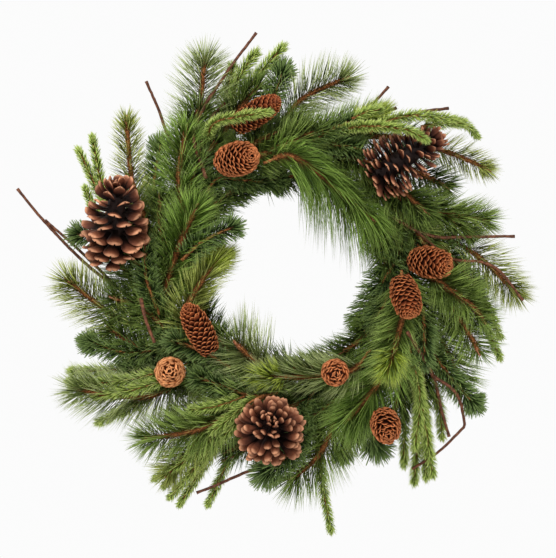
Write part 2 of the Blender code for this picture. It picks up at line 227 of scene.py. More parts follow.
def needles(shell, bases, ways, bends, lengths, radii, tones, slot, stops=POINTED, flat=1.0):
    """Thin tapering needles. bends is how far each tip is carried aside, as a share of its length, and flat
    is how thick a needle is against its width."""
    count = len(bases)
    if count == 0:
        return
    first, second = side_pair(ways)
    sides = NEEDLE_SIDES
    corners, tints = [], []
    for t, wide in stops:
        middle = bases + ways * (lengths * t)[:, None] + bends * (lengths * t * t)[:, None]
        for k in range(sides):
            angle = 2 * math.pi * k / sides
            off = first * math.cos(angle) + second * math.sin(angle) * flat
            corners.append(middle + off * (radii * wide)[:, None])
            tints.append(np.stack([np.full(count, t), tones, np.zeros(count)], 1))
    corners.append(bases + ways * lengths[:, None] + bends * lengths[:, None])
    tints.append(np.stack([np.ones(count), tones, np.zeros(count)], 1))
    tip = len(stops) * sides
    start = (np.arange(count) * (tip + 1))[:, None]
    walls, points = [], []
    for ring in range(len(stops)):
        for k in range(sides):
            a, b = ring * sides + k, ring * sides + (k + 1) % sides
            if ring < len(stops) - 1:
                walls.append(start + np.array([[a, a + sides, b + sides, b]]))
            else:
                points.append(start + np.array([[a, tip, b]]))
    feet = start + np.arange(sides)[None]
    shell.add(np.stack(corners, 1).reshape(-1, 3), [np.concatenate(walls), np.concatenate(points), feet],
              np.stack(tints, 1).reshape(-1, 3), slot)


def tube(shell, path, radii, sides, slot, rough=0.0, rng=None):
    """A round stem along a path, with closed ends. rough is how far its radius strays, as a share of it."""
    first, second = side_pair(unit(np.gradient(path, axis=0)))
    points, ends = [], []
    for i, place in enumerate(path):
        for k in range(sides):
            angle = 2 * math.pi * k / sides
            reach = radii[i] * (1 + (rng.uniform(-rough, rough) if rough else 0.0))
            points.append(place + reach * (first[i] * math.cos(angle) + second[i] * math.sin(angle)))
    for ring, turn in ((0, -1), (len(path) - 1, 1)):
        points.append(path[ring])
        for k in range(sides):
            a, b = ring * sides + k, ring * sides + (k + 1) % sides
            ends.append((a, b, len(points) - 1)[::turn])
    shell.add(points, [ring_faces(len(path), sides), np.array(ends)], np.zeros((len(points), 3)), slot)


# ---------------- materials


def node_tree(name):
    material = bpy.data.materials.new(name)
    material.use_nodes = True
    tree = material.node_tree
    return material, tree, tree.nodes["Principled BSDF"]


def ramp(tree, factor, stops):
    """A colour ramp fed by factor. stops are (place, (r, g, b))."""
    node = tree.nodes.new("ShaderNodeValToRGB")
    elements = node.color_ramp.elements
    while len(elements) < len(stops):
        elements.new(0.5)
    for element, (place, colour) in zip(elements, stops):
        element.position = place
        element.color = (*colour, 1.0)
    tree.links.new(factor, node.inputs["Fac"])
    return node.outputs["Color"]


def mix(tree, kind, factor, a, b):
    node = tree.nodes.new("ShaderNodeMix")
    node.data_type = "RGBA"
    node.blend_type = kind
    for socket, value in ((node.inputs[0], factor), (node.inputs[6], a), (node.inputs[7], b)):
        if isinstance(value, (int, float)):
            socket.default_value = value
        elif isinstance(value, tuple):
            socket.default_value = (*value, 1.0)
        else:
            tree.links.new(value, socket)
    return node.outputs[2]


def noise(tree, scale, detail=3.0):
    """Blotches fixed to the object, in waves to the metre."""
    node = tree.nodes.new("ShaderNodeTexNoise")
    node.inputs["Scale"].default_value = scale
    node.inputs["Detail"].default_value = detail
    coords = tree.nodes.new("ShaderNodeTexCoord")
    tree.links.new(coords.outputs["Object"], node.inputs["Vector"])
    return node.outputs["Fac"]


def leaf_parts(tree):
    """(along, tone, side) carried by the mesh's own colour: the share of a needle's or scale's length, its
    own tone, and 1 on the underside of a scale, where painted shade goes."""
    attribute = tree.nodes.new("ShaderNodeAttribute")
    attribute.attribute_name = "leaf"
    split = tree.nodes.new("ShaderNodeSeparateColor")
    tree.links.new(attribute.outputs["Color"], split.inputs["Color"])
    return split.outputs["Red"], split.outputs["Green"], split.outputs["Blue"]


def surface(tree, shader, colour, rough, specular):
    """Sets the base colour, the roughness and the strength of reflections."""
    tree.links.new(colour, shader.inputs["Base Color"])
    shader.inputs["Roughness"].default_value = rough
    shader.inputs["Specular IOR Level"].default_value = specular


def bumped(tree, shader, height, strength, distance):
    bump = tree.nodes.new("ShaderNodeBump")
    bump.inputs["Strength"].default_value = strength
    bump.inputs["Distance"].default_value = distance
    tree.links.new(height, bump.inputs["Height"])
    tree.links.new(bump.outputs["Normal"], shader.inputs["Normal"])


def linear(red, green, blue):
    """Scene-linear colour of an 0-255 screen colour."""
    out = []
    for value in (red, green, blue):
        share = value / 255
        out.append(share / 12.92 if share <= 0.04045 else ((share + 0.055) / 1.055) ** 2.4)
    return tuple(out)


def grey(value):
    return (value, value, value)


BLACK, WHITE = grey(0.0), grey(1.0)


def needle_material(name, dark, middle, light, tip, base=(92, 62, 34), rough=0.5):
    """Needles: brown at the foot, darker low down with painted shade where they lie deep in the sprig, each
    with its own tone, and a paler point.
    """
    material, tree, shader = node_tree(name)
    along, tone, _ = leaf_parts(tree)
    body = ramp(tree, tone, ((0.0, linear(*dark)), (0.5, linear(*middle)), (1.0, linear(*light))))
    patches = ramp(tree, noise(tree, 90.0), ((0.35, grey(0.72)), (0.7, grey(1.12))))
    body = mix(tree, "MULTIPLY", 0.8, body, patches)
    # Painted shade: each needle is darkened towards its foot, where it lies deep inside the sprig.
    low = ramp(tree, along, ((0.0, grey(0.55)), (0.6, WHITE)))
    body = mix(tree, "MULTIPLY", 1.0, body, low)
    point = ramp(tree, along, ((0.55, BLACK), (1.0, WHITE)))
    body = mix(tree, "MIX", point, body, linear(*tip))
    foot = ramp(tree, along, ((0.0, WHITE), (0.16, BLACK)))
    body = mix(tree, "MIX", foot, body, linear(*base))
    surface(tree, shader, body, rough, 0.2)
    return material


def bark_material(name, dark, middle, light, scale, rough=0.7, depth=0.0006):
    """Stems, buds and twigs, blotched and finely roughened."""
    material, tree, shader = node_tree(name)
    grain = noise(tree, scale, 5.0)
    body = ramp(tree, grain, ((0.3, linear(*dark)), (0.5, linear(*middle)), (0.72, linear(*light))))
    surface(tree, shader, body, rough, 0.2)
    bumped(tree, shader, grain, 0.6, depth)
    return material


# The shares of a scale's length at which its colour is given
SCALE_STOPS = (0.0, 0.45, 0.66, 0.84, 0.95)


def scale_material(name, colours, under):
    """Cone scales: dark at the core, brown on the face, with a paler worn rim and painted shade on their
    undersides. colours are screen colours, and under is the painted shade they are multiplied by on the
    underside."""
    material, tree, shader = node_tree(name)
    along, tone, side = leaf_parts(tree)
    body = ramp(tree, along, [(place, linear(*colour)) for place, colour in zip(SCALE_STOPS, colours)])
    grain = noise(tree, 260.0, 4.0)
    patches = ramp(tree, grain, ((0.3, (0.62, 0.60, 0.58)), (0.7, (1.2, 1.18, 1.15))))
    body = mix(tree, "MULTIPLY", 0.85, body, patches)
    own = ramp(tree, tone, ((0.0, (0.72, 0.70, 0.68)), (1.0, (1.22, 1.20, 1.18))))
    body = mix(tree, "MULTIPLY", 1.0, body, own)
    # Painted shade: the undersides of the scales are darkened.
    below = ramp(tree, side, ((0.0, WHITE), (1.0, under)))
    body = mix(tree, "MULTIPLY", 1.0, body, below)
    surface(tree, shader, body, 0.62, 0.18)
    bumped(tree, shader, grain, 0.45, 0.0006)
    return material


# The tones of the needles, from 0-255 screen colours: dark, middle, light, tip
PINE = {
    "green": needle_material("pine_green", (46, 64, 14), (100, 124, 42), (160, 184, 90), (172, 194, 106)),
    "bright": needle_material("pine_bright", (46, 70, 12), (98, 130, 40), (154, 186, 82), (166, 194, 98)),
    "grey": needle_material("pine_grey", (60, 72, 26), (122, 140, 68), (182, 194, 124), (194, 204, 142)),
    "olive": needle_material("pine_olive", (68, 74, 20), (128, 140, 54), (186, 196, 98), (198, 206, 118)),
    # deep is painted shade: a darker copy of the pine green, for sprigs that lie low and shaded among the rest.
    "deep": needle_material("pine_painted_shade", (34, 48, 12), (68, 88, 28), (110, 132, 54), (120, 142, 64)),
    "lime": needle_material("pine_lime", (108, 124, 26), (156, 176, 50), (190, 208, 82), (202, 214, 102)),
}
FIR = needle_material("fir_green", (26, 42, 16), (62, 86, 38), (110, 134, 70), (124, 146, 82), rough=0.45)
SPRUCE = needle_material("spruce_green", (88, 114, 34), (148, 174, 72), (196, 214, 110), (208, 222, 130),
                         base=(96, 104, 44))
STEM = bark_material("stem_brown", (78, 42, 18), (136, 84, 42), (176, 120, 68), 420.0)
BUD = bark_material("bud_pink", (120, 66, 40), (178, 116, 80), (206, 154, 118), 500.0)
TWIG = bark_material("twig_bark", (54, 28, 18), (88, 52, 34), (128, 80, 54), 240.0, 0.55, 0.0004)
# The last colour of each cone material is the painted shade on its scales' undersides.
CONE_BROWN = scale_material(
    "cone_brown", ((16, 7, 6), (30, 14, 10), (88, 48, 34), (124, 74, 52), (190, 136, 104)),
    (0.62, 0.55, 0.52))
CONE_RUST = scale_material(
    "cone_rust", ((22, 7, 3), (58, 22, 9), (112, 52, 22), (146, 76, 36), (192, 120, 74)), (0.6, 0.5, 0.45))
CONE_PALE = scale_material(
    "cone_pale", ((52, 20, 8), (100, 48, 22), (150, 84, 44), (186, 114, 66), (212, 148, 98)),
    (0.7, 0.6, 0.55))


def wire_material(name, colour, metallic, rough):
    """Painted or bare wire, a little uneven in tone."""
    material, tree, shader = node_tree(name)
    tone = ramp(tree, noise(tree, 300.0), ((0.35, tuple(0.7 * c for c in colour)), (0.7, colour)))
    tree.links.new(tone, shader.inputs["Base Color"])
    shader.inputs["Metallic"].default_value = metallic
    shader.inputs["Roughness"].default_value = rough
    return material


FRAME_WIRE = wire_material("frame_wire", (0.03, 0.07, 0.035), 0.0, 0.4)
TIE_WIRE = wire_material("tie_wire", (0.55, 0.56, 0.57), 1.0, 0.35)

# ---------------- cones

# Each cone: node, the way its tip points, length and width (mm)
CONES = [
    ("cone_small_01", (0.66, -0.74, 0.10), 60, 43),
    ("cone_small_02", (0.83, -0.22, 0.50), 72, 33),
    ("cone_small_03", (0.78, -0.60, -0.15), 58, 40),
    ("cone_small_04", (0.20, -0.55, -0.80), 58, 37),
    ("cone_small_05", (-0.40, -0.42, 0.81), 76, 34),
    ("cone_small_06", (0.05, -0.99, 0.10), 50, 37),
    ("cone_small_07", (0.05, -0.99, -0.10), 46, 33),
    ("cone_small_08", (0.10, -0.85, -0.50), 48, 37),
    ("cone_large_01", (0.08, -0.53, 0.85), 106, 86),
    ("cone_large_02", (0.00, -0.93, 0.36), 80, 88),
    ("cone_large_03", (0.82, -0.22, 0.52), 98, 76),
]


def cone_axes(way):
    """Unit vectors along a cone, to its side and square to both."""
    way = unit(np.array(way))
    side = unit(np.cross(way, (0.0, 0.0, 1.0)))
    return way, side, np.cross(side, way)


# Shares of a scale's length: where it starts to widen, over what run, and where its end starts to round off
WIDEN_FROM, WIDEN_RUN, ROUND_FROM = 0.20, 0.52, 0.74
# How far its face is hollowed, as a share of its width, and how much thinner its side edges are
SCALE_CUP, EDGE_THINNER = 0.12, 0.6


def scale_grid(length, width, thick, curl, neck, stops, columns):
    """One cone scale in its own axes: x out from the cone, y across, z towards the cone's tip. It is neck
    wide at its stalk, as a share of width, and ends in a rounded paddle."""
    upper, lower, along = [], [], []
    for t in stops:
        swell = min(1.0, max(0.0, (t - WIDEN_FROM) / WIDEN_RUN))
        swell = swell * swell * (3 - 2 * swell)
        rounded = math.sqrt(max(0.02, 1 - max(0.0, (t - ROUND_FROM) / (1 - ROUND_FROM)) ** 2))
        half = width / 2 * (neck + (1 - neck) * swell) * rounded
        depth = thick * (0.5 + 0.7 * swell) * (0.35 + 0.65 * rounded)
        for j in range(columns):
            s = 2 * j / (columns - 1) - 1
            edge = 1 - EDGE_THINNER * abs(s) ** 3
            rise = curl * length * t * t - SCALE_CUP * width * s * s * swell
            upper.append((length * t, half * s, rise + depth * edge / 2))
            lower.append((length * t, half * s, rise - depth * edge / 2))
            along.append(t)
    return np.array(upper), np.array(lower), np.array(along)


def add_scale(shell, origin, axes, grid, rows, columns, tone):
    """Puts a scale from scale_grid at a place, along three axes."""
    upper, lower, along = grid
    points = origin + np.vstack([upper, lower]) @ np.array(axes)
    count = rows * columns
    quads = []
    for i in range(rows - 1):
        for j in range(columns - 1):
            a = i * columns + j
            quads.append((a, a + columns, a + columns + 1, a + 1))
            b = a + count
            quads.append((b, b + 1, b + columns + 1, b + columns))
    rim = list(range(columns))
    rim += [i * columns + columns - 1 for i in range(1, rows)]
    rim += [(rows - 1) * columns + j for j in range(columns - 2, -1, -1)]
    rim += [i * columns for i in range(rows - 2, 0, -1)]
    for a, b in zip(rim, rim[1:] + rim[:1]):
        quads.append((a, b, b + count, a + count))
    tints = np.zeros((2 * count, 3))
    tints[:, 0] = np.concatenate([along, along])
    tints[:, 1] = tone
    # The lower face is marked as the underside, which takes painted shade.
    tints[count:, 2] = 1.0
    shell.add(points, [np.array(quads)], tints, MAIN)


# A cone's solid heart: shares of its length from its middle, and its width there against the widest
CORE_STOPS = ((-0.48, 0.5), (-0.3, 0.95), (0.0, 1.0), (0.3, 0.72), (0.46, 0.25))
CORE_SIDES = 10
# The heart has the colour that the scales have at this share of their length.
CORE_SHADE = 0.35


def cone_core(shell, middle, axes, length, radius):
    """The dark solid heart of a cone."""
    way, side, up = axes
    points, ends = [], []
    for t, wide in CORE_STOPS:
        for k in range(CORE_SIDES):
            angle = 2 * math.pi * k / CORE_SIDES
            round_it = side * math.cos(angle) + up * math.sin(angle)
            points.append(middle + way * length * t + radius * wide * round_it)
    for ring in (0, len(CORE_STOPS) - 1):
        points.append(middle + way * length * (CORE_STOPS[ring][0] * 1.05))
        for k in range(CORE_SIDES):
            ends.append((ring * CORE_SIDES + k, ring * CORE_SIDES + (k + 1) % CORE_SIDES, len(points) - 1))
    tints = np.tile((CORE_SHADE, 0.5, 0.0), (len(points), 1))
    shell.add(points, [ring_faces(len(CORE_STOPS), CORE_SIDES), np.array(ends)], tints, MAIN)


# The stalk under a cone: its radius, how far back it runs at most, and the y, short of the ring, of its end
STALK_R = 1.9 * MM
STALK_RUN = 55 * MM
STALK_END_Y = -14 * MM


def cone_stalk(shell, base):
    """The stalk that goes from a cone's base back among the greens and holds it there."""
    foot = np.array([base[0], min(base[1] + STALK_RUN, STALK_END_Y), base[2]])
    share = np.linspace(0, 1, 8)[:, None]
    path = base + (foot - base) * share
    tube(shell, path, np.full(len(path), STALK_R), 8, WOOD)


# A cone's outline is a half wave of the sine, and its tip is at this share of it.
OUTLINE_END = 0.985
# The heart's length and the foot of the stalk, as shares of a cone's length
CORE_LENGTH, STALK_FROM = 0.9, 0.40
# A scale is lengthened for its lean by one over the cosine, but not below this, and its reach varies.
LEAST_COSINE = 0.5
REACH_VARIES = (0.90, 1.04)
# The least width of a scale, as a share of one in a cone's middle
NARROWEST = 0.45


def opening(look, t):
    """Degrees a scale leans towards the cone's tip at the share t of its length."""
    first, more, power, last, last_from = look["open"]
    return first + more * t ** power + last * max(0.0, t - last_from) / (1 - last_from)


def scaled_cone(name, way, length, width, seed, look):
    """A cone of scales set round its axis by the golden angle, from its base (t 0) to its tip (t 1)."""
    rng = np.random.default_rng(seed)
    middle, _ = middle_and_half(name)
    way, side, up = cone_axes(way)
    length, width = length * MM, width * MM
    shell = Shell()
    cone_core(shell, middle, (way, side, up), length * CORE_LENGTH, width * look["core"])
    cone_stalk(shell, middle - way * length * STALK_FROM)
    count, stops, columns = look["count"], look["stops"], look["columns"]
    for i in range(count):
        t = i / (count - 1)
        angle = i * GOLDEN_ANGLE + rng.normal(0, look["jitter"])
        spread = math.sin(math.pi * (look["base"] + (OUTLINE_END - look["base"]) * t)) ** look["round"]
        lean = math.radians(opening(look, t) + rng.normal(0, look["sway"]))
        radial = side * math.cos(angle) + up * math.sin(angle)
        out = radial * math.cos(lean) + way * math.sin(lean)
        rise = way * math.cos(lean) - radial * math.sin(lean)
        across = np.cross(rise, out)
        roll = rng.normal(0, look["roll"])
        across, rise = (across * math.cos(roll) + rise * math.sin(roll),
                        rise * math.cos(roll) - across * math.sin(roll))
        inner = width * look["inner"] * spread
        start = middle + way * length * (look["start"] + look["run"] * t) + radial * inner
        reach = (width / 2 * spread - inner) / max(math.cos(lean), LEAST_COSINE) * rng.uniform(*REACH_VARIES)
        reach = max(reach, width * look["least"])
        wide = width * look["paddle"] * (NARROWEST + (1 - NARROWEST) * spread)
        grid = scale_grid(reach, wide, width * look["thick"], look["curl"], look["neck"], stops, columns)
        add_scale(shell, start, (out, across, rise), grid, len(stops), columns, rng.uniform(0, 1))
    return shell


# The looks of a cone. Sizes are shares of its width, except start and run, which place the scales along its
# length, and neck and stops, which are as in scale_grid. base and round shape its outline. open is (degrees
# at its base, how many more by its tip, power, a last flare, where that starts). sway, jitter and roll are
# how far scales stray in lean (degrees), in place and in roll (radians), and core is its heart's radius.
# An open pine cone: separate paddles on thin stalks, nearly square to the axis until near the tip
OPEN_CONE = {
    "count": 80, "base": 0.24, "round": 0.62, "open": (-14, 26, 1, 62, 0.62), "sway": 7.0, "jitter": 0.10,
    "roll": 0.22, "inner": 0.10, "start": -0.43, "run": 0.84, "least": 0.13, "paddle": 0.225, "thick": 0.024,
    "curl": 0.13, "neck": 0.34, "stops": (0.0, 0.3, 0.5, 0.62, 0.72, 0.82, 0.90, 0.96, 1.0), "columns": 7,
    "core": 0.11,
}
# A closed cone: thin scales that overlap in tight rows and meet at the tip
CLOSED_CONE = {
    "count": 190, "base": 0.17, "round": 0.55, "open": (34, 50, 2, 0, 0), "sway": 2.5, "jitter": 0.02,
    "roll": 0.05, "inner": 0.27, "start": -0.47, "run": 0.90, "least": 0.11, "paddle": 0.235, "thick": 0.030,
    "curl": 0.10, "neck": 0.75, "stops": (0.0, 0.4, 0.66, 0.82, 0.93, 1.0), "columns": 5, "core": 0.36,
}
OWN_LOOKS = {
    "cone_large_01": {"round": 0.60, "core": 0.15, "thick": 0.019, "sway": 8.0},
    "cone_large_02": {
        "count": 116, "paddle": 0.120, "curl": 0.18, "thick": 0.030, "sway": 13.0, "jitter": 0.20,
        "roll": 0.32, "start": -0.50, "core": 0.14, "neck": 0.42, "open": (2, 22, 1, 44, 0.66)},
    "cone_large_03": {"count": 118, "core": 0.16, "paddle": 0.15, "roll": 0.12, "thick": 0.018, "neck": 0.45},
    "cone_small_05": {"count": 200, "paddle": 0.24, "sway": 3.0, "roll": 0.08},
    "cone_small_06": {
        "count": 170, "paddle": 0.26, "sway": 9.0, "roll": 0.35, "jitter": 0.12, "neck": 0.6, "thick": 0.04,
        "open": (14, 28, 1, 46, 0.8)},
    "cone_small_07": {
        "count": 120, "paddle": 0.25, "sway": 9.0, "roll": 0.30, "jitter": 0.12, "neck": 0.5, "thick": 0.04,
        "open": (12, 36, 1, 40, 0.8)},
    "cone_small_08": {"count": 150, "paddle": 0.25, "sway": 5.0, "roll": 0.15},
}
PALE_CONES = ("cone_small_06",)

# Where the cones are, as (middle, half size): needles keep off them.
KEEP_CLEAR = [middle_and_half(cone[0]) for cone in CONES]
# The shares of a needle's length that are tested, and how near a cone's middle they may come: the square of a
# distance and a depth, where 1 is the edge of its box
TESTED = (0.0, 0.35, 0.7, 1.0)
NEAREST, NEAREST_IN_FRONT = 0.85, 0.8


def clear_of_cones(bases, tips, over):
    """True for the needles that don't cut into a cone nor, unless their sprig lies over it, hide its face."""
    keep = np.ones(len(bases), bool)
    for middle, half in KEEP_CLEAR:
        for share in TESTED:
            gap = (bases + (tips - bases) * share - middle) / half
            across = gap[:, 0] ** 2 + gap[:, 2] ** 2
            if over:
                keep &= (gap ** 2).sum(1) > NEAREST
            else:
                keep &= ~((across < NEAREST) & (gap[:, 1] < NEAREST_IN_FRONT))
    return keep


# ---------------- sprigs


def along_path(path, count, start, end, rng):
    """Random places on the path: (points, directions, shares of the length)."""
    run = path_run(path)
    share = np.sort(start + (end - start) * (np.arange(count) + rng.uniform(0, 1, count)) / count)
    wanted = share * run[-1]
    slopes = unit(np.gradient(path, axis=0))
    return at_runs(path, run, wanted), unit(at_runs(slopes, run, wanted)), share


# How far past the CAD box needle tips may stand on each axis. A needle that would pass is shortened, a few
# times over, and left out if it still does.
STAND_PROUD = np.array([0.024, 0.010, 0.023])
SHORTENINGS, SHORTER = 3, 0.7
# A needle that points forward by more than this hides its stem.
FRONT_OPENING = 0.70
# Sprigs are flattened front to back by this.
SIDEWAYS = 0.60
LEAST_NEEDLES = 8
# From this share of a sprig its needles grow shorter, by a power of the rest.
TAPER_FROM, TAPER_POWER = 0.72, 1.5
# How far needles stray round the stem (radians) and off it (degrees), a bundle and one in a bundle, then in
# sag and tone, and the ranges of their length, radius and bend
TURN_STRAY, BUNDLE_TURN = 0.35, 0.10
LEAN_STRAY, BUNDLE_LEAN = 6, 2.5
SAG_STRAY, TONE_STRAY = 0.03, 0.08
LENGTHS, RADII, BENDS = (0.72, 1.08), (0.8, 1.15), (0.2, 1.5)


def bristle(shell, path, rng, per_mm, length, radius, spread, start=0.0, end=1.0, slot=MAIN, stem=0.0,
            stops=POINTED, tips=0.5, forward=0.04, flat=1.0, carry=(0.0, 0.0, 0.0), open_front=0.0,
            over=False, sideways=SIDEWAYS, bundle=1):
    """Needles all round a path, bundle of them from each place. spread is (degrees off the stem at the root,
    at the tip), carry is the way their tips are carried, tips is how long the last ones are against the rest,
    and open_front is the share of bundles left out where they would hide the stem."""
    groups = max(LEAST_NEEDLES, int(per_mm * path_run(path)[-1] / MM * (end - start) / bundle))
    count = groups * bundle
    points, ways, share = (np.repeat(part, bundle, 0) for part in along_path(path, groups, start, end, rng))
    first, second = side_pair(ways)
    turn = np.repeat(np.arange(groups) * GOLDEN_ANGLE + rng.normal(0, TURN_STRAY, groups), bundle)
    turn = turn + (rng.normal(0, BUNDLE_TURN, count) if bundle > 1 else 0.0)
    radial = first * np.cos(turn)[:, None] + second * np.sin(turn)[:, None]
    kept = np.repeat(rng.uniform(0, 1, groups) > open_front, bundle)
    shown = (radial[:, 1] > -FRONT_OPENING) | kept
    radial[:, 1] *= sideways
    radial = unit(radial)
    local = (share - start) / (end - start)
    stray = np.repeat(rng.normal(0, LEAN_STRAY, groups), bundle)
    stray = stray + (rng.normal(0, BUNDLE_LEAN, count) if bundle > 1 else 0.0)
    lean = np.radians(spread[0] + (spread[1] - spread[0]) * local + stray)
    out = unit(ways * np.cos(lean)[:, None] + radial * np.sin(lean)[:, None])
    grow = 1 - (1 - tips) * np.clip((local - TAPER_FROM) / (1 - TAPER_FROM), 0, 1) ** TAPER_POWER
    long = length * grow * rng.uniform(*LENGTHS, count)
    sag = np.repeat(rng.normal(0, SAG_STRAY, (groups, 3)), bundle, 0)
    bends = ways * (forward * rng.uniform(*BENDS, count))[:, None] + sag + np.array(carry)
    tones = np.repeat(rng.uniform(0, 1, groups), bundle) + rng.normal(0, TONE_STRAY, count)
    bases = points + radial * stem
    ends = bases + (out + bends) * long[:, None]
    behind_wall = np.maximum(ends[:, 1] - WALL_GAP, 0)
    out[:, 1] -= behind_wall / np.maximum(long, 1e-6)
    low, high = np.array(CAD_BOX[0]) - STAND_PROUD, np.array(CAD_BOX[1]) + STAND_PROUD
    high[1] = WALL_GAP
    for _ in range(SHORTENINGS):
        ends = bases + (out + bends) * long[:, None]
        outside = ((ends < low) | (ends > high)).any(1)
        long = np.where(outside, long * SHORTER, long)
    ends = bases + (out + bends) * long[:, None]
    outside = ((ends < low - MM) | (ends > high + MM)).any(1)
    keep = shown & ~outside & clear_of_cones(bases, ends, over) & (bases[:, 1] < WALL_GAP)
    needles(shell, bases[keep], out[keep], bends[keep], long[keep],
            (radius * rng.uniform(*RADII, count))[keep], np.clip(tones, 0, 1)[keep], slot, stops, flat)


BUD_SCALES = 26
# Shares of a bud's size: how far of it is below the stem's end, its radius, and its scales' length and radius
BUD_SINK, BUD_R, BUD_SCALE_LENGTH, BUD_SCALE_R = 0.75, 0.16, 0.55, 0.13


def bud(shell, path, rng, size):
    """A scaly bud on the end of a stem."""
    tip, way = path[-1], unit(path[-1] - path[-3])
    share = np.linspace(0, 1, BUD_SCALES)
    first, second = side_pair(np.repeat(way[None], BUD_SCALES, 0))
    turn = np.arange(BUD_SCALES) * GOLDEN_ANGLE
    radial = first * np.cos(turn)[:, None] + second * np.sin(turn)[:, None]
    rise, off = (share - BUD_SINK) * size, size * BUD_R * (1 - 0.6 * share)
    bases = tip + way * rise[:, None] + radial * off[:, None]
    long, thin = np.full(BUD_SCALES, size * BUD_SCALE_LENGTH), np.full(BUD_SCALES, size * BUD_SCALE_R)
    needles(shell, bases, unit(way + radial * 0.35), -radial * 0.25, long, thin,
            rng.uniform(0, 1, BUD_SCALES), BUDS, BLUNT)


def attach(piece, node=None):
    """Fixes the piece to the wreath, in place of a CAD node if one is named."""
    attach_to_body(piece, "root")
    if node:
        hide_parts(node)


# Sizes in mm, and needles to each mm of stem. Greens start at this share of their stem, and their stem stops
# short of the sprig's end by a share of its needles' length.
GREENS_FROM = 0.06
PINE_R, PINE_STEM_R, PINE_PER_MM, PINE_SHORT, PINE_BUD = 0.38, 1.8, 7.6, 0.5, 9
FIR_R, FIR_PER_MM, FIR_SHORT, FIR_BUD, FIR_FLAT = 0.64, 5.0, 0.6, 6, 0.55
SPRUCE_R, SPRUCE_PER_MM, SPRUCE_SHORT = 0.52, 5.2, 0.5
FIR_LENGTH, SPRUCE_LENGTH = 20, 11.0
# Pine needles grow this many from one place.
NEEDLES_TOGETHER = 2


def pine_sprig(name, path, colour, seed, length=44, per_mm=PINE_PER_MM, tip="bud", spread=(66, 48),
               start=GREENS_FROM, carry=(0.0, 0.0, 0.0), node=None, radius=PINE_R, open_front=0.6,
               short=PINE_SHORT):
    """A long-needled sprig: a scaly stem, needles all round it, a tuft and a bud at its end, and perhaps a
    lime tuft as well."""
    rng = np.random.default_rng(seed)
    shell = Shell()
    long, thin, stem = length * MM, radius * MM, PINE_STEM_R
    path = trimmed(path, short * length * MM)
    tube(shell, path, np.linspace(stem, stem * 0.72, len(path)) * MM, 8, WOOD, 0.16, rng)
    bristle(shell, path, rng, per_mm, long, thin, spread, start, 0.98, MAIN, stem * 0.8 * MM, tips=0.72,
            carry=carry, open_front=open_front, bundle=NEEDLES_TOGETHER)
    bristle(shell, path, rng, 8.0, 3.6 * MM, 0.42 * MM, (60, 50), start, 1.0, WOOD, stem * 0.6 * MM, tips=0.8)
    bristle(shell, path, rng, 10.0, length * 0.66 * MM, thin, (46, 20), 0.94, 1.0, MAIN, stem * 0.4 * MM,
            tips=1.0, carry=carry)
    if tip == "lime":
        bristle(shell, path, rng, 15.0, 30 * MM, 0.48 * MM, (62, 26), 0.80, 1.0, TUFT, 1.2 * MM, tips=0.9,
                open_front=0.4)
    bud(shell, path, rng, PINE_BUD * MM)
    attach(shell.finish(name, [PINE[colour], STEM, BUD, PINE["lime"]]), node)


def fir_sprig(name, path, seed, node=None, length=FIR_LENGTH, start=GREENS_FROM):
    """A dark sprig with short flat blunt needles, rounded at its end like a brush."""
    rng = np.random.default_rng(seed)
    shell = Shell()
    long, thin = length * MM, FIR_R * MM
    path = trimmed(path, FIR_SHORT * length * MM)
    tube(shell, path, np.linspace(2.2, 1.5, len(path)) * MM, 8, WOOD, 0.12, rng)
    bristle(shell, path, rng, FIR_PER_MM, long, thin, (64, 56), start, 1.0, MAIN, 1.4 * MM, BLUNT, tips=1.0,
            flat=FIR_FLAT)
    bristle(shell, path, rng, 26.0, long, thin, (70, 4), 0.95, 1.0, MAIN, 0.6 * MM, BLUNT, tips=1.0,
            flat=FIR_FLAT, sideways=0.4)
    bud(shell, path, rng, FIR_BUD * MM)
    attach(shell.finish(name, [FIR, STEM, BUD]), node)


def spruce_spray(name, paths, seed, node=None, length=SPRUCE_LENGTH, over=False):
    """Slim bright fingers with short needles laid forward."""
    rng = np.random.default_rng(seed)
    shell = Shell()
    for path in paths:
        path = trimmed(path, SPRUCE_SHORT * length * MM)
        tube(shell, path, np.linspace(1.6, 1.0, len(path)) * MM, 7, WOOD, 0.1, rng)
        bristle(shell, path, rng, SPRUCE_PER_MM, length * MM, SPRUCE_R * MM, (58, 44), GREENS_FROM, 1.0, MAIN,
                0.9 * MM, tips=0.70, forward=0.15, flat=0.8, over=over, sideways=0.8)
        bristle(shell, path, rng, 10.0, length * 0.8 * MM, 0.5 * MM, (40, 8), 0.96, 1.0, MAIN, 0.3 * MM,
                tips=1.0, over=over)
    attach(shell.finish(name, [SPRUCE, STEM]), node)


# How a spray laid over a cone starts: the share of its path that is hidden, the share of the rest over which
# it rises, how deep it is sunk there, and the y that it stays in front of
HIDDEN, RISES, SINK, DEEPEST_Y = 0.36, 0.35, 40 * MM, -10 * MM


def tucked_root(path):
    """The path without its hidden part, and sunk at its start, so that it rises from under its neighbours."""
    path = path[int(HIDDEN * len(path)):].copy()
    run = path_run(path) / path_run(path)[-1]
    path[:, 1] = np.minimum(path[:, 1] + SINK * np.clip(1 - run / RISES, 0, 1), DEEPEST_Y)
    return path


